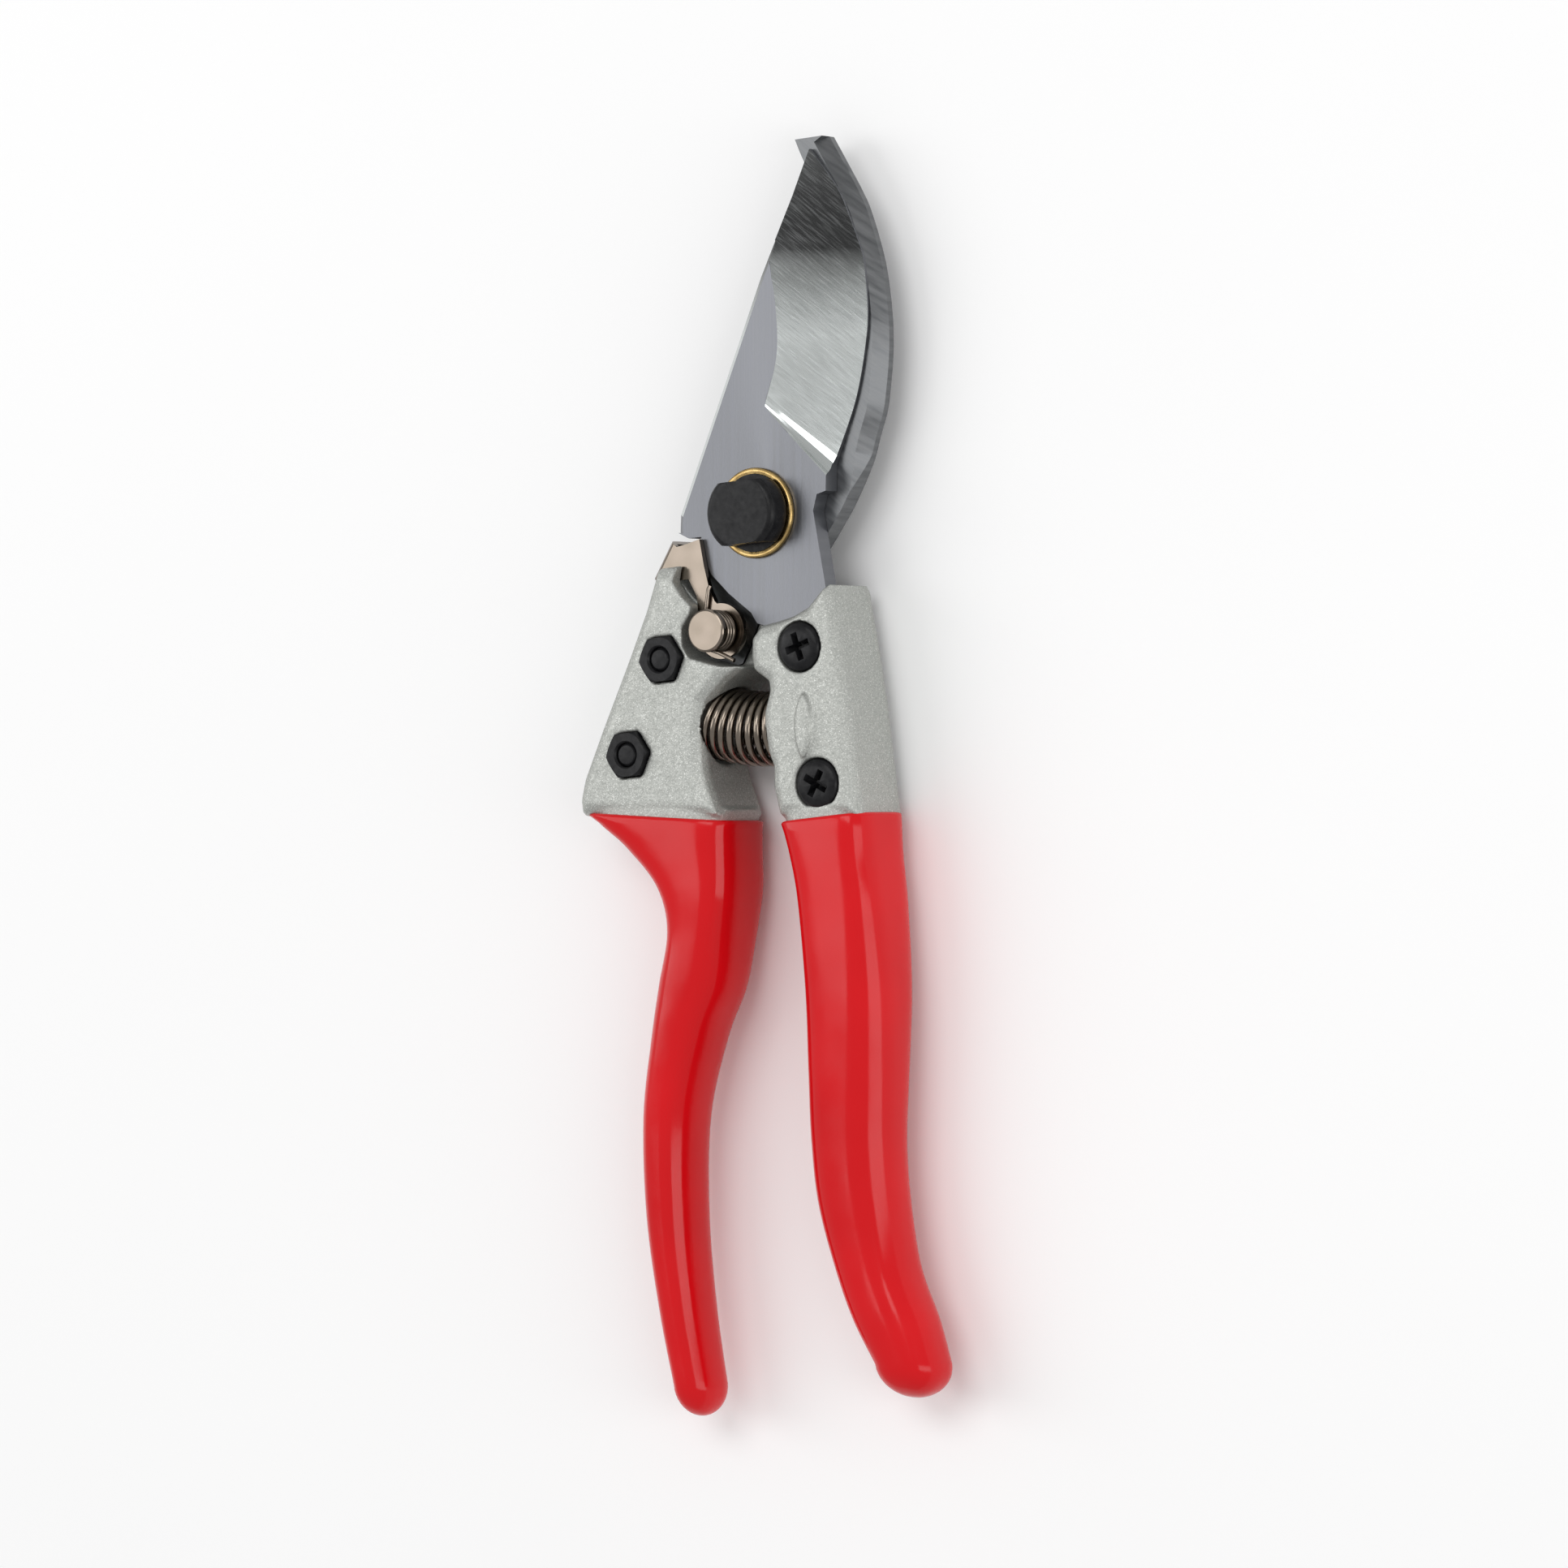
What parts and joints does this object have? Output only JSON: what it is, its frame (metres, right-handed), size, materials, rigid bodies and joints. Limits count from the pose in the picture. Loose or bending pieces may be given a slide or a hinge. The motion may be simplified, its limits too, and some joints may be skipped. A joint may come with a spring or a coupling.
{
  "type": "bypass pruner",
  "caption": "Hand pruner with a curved cutting blade passing a hooked counter blade, cast handles in dipped grips, a coil spring and a thumb catch.",
  "frame": {"origin": "on the pivot axis, at the rear end face of the pivot bolt, which the tool lies on", "axes": "+Z is the front face's normal, +Y runs along the tool to the blade tips, +X is towards the cutting blade's handle"},
  "size_m": [0.0661, 0.2049, 0.0179],
  "materials": {
    "blade_steel": "ground, lightly polished",
    "cast_aluminium": "sand-cast grain under silver lacquer",
    "red_vinyl": "glossy dip coat",
    "black_steel": "black oxide",
    "brass": "turned, slightly tarnished",
    "nickel_plate": "warm nickel plate"
  },
  "bodies": {
    "hook_side": {"hook_blade": "blade_steel", "left_handle": "cast_aluminium", "left_grip": "red_vinyl", "pivot_bolt": "black_steel", "pivot_ring": "brass", "pivot_washer": "black_steel", "pivot_nut": "black_steel", "left_screw_1": "black_steel", "left_nut_1": "black_steel", "left_screw_2": "black_steel", "left_nut_2": "black_steel", "catch_pin": "nickel_plate", "catch_spring": "nickel_plate", "main_spring": "nickel_plate"},
    "blade_side": {"cutting_blade": "blade_steel", "right_handle": "cast_aluminium", "right_grip": "red_vinyl", "right_screw_1": "black_steel", "right_nut_1": "black_steel", "right_screw_2": "black_steel", "right_nut_2": "black_steel"},
    "catch": {"thumb_catch": "nickel_plate"}
  },
  "joints": [
    {"name": "handle_pivot", "type": "hinge", "parent": "hook_side", "child": "blade_side", "pos_m": [0, 0, 0.009], "axis": [0, 0, 1], "range_deg": [0, 28], "deforming": ["main_spring"]},
    {"name": "catch_hinge", "type": "hinge", "parent": "hook_side", "child": "catch", "pos_m": [-0.0062, -0.0188, 0.009], "axis": [0, 0, 1], "range_deg": [0, 20], "deforming": ["catch_spring"]}
  ]
}
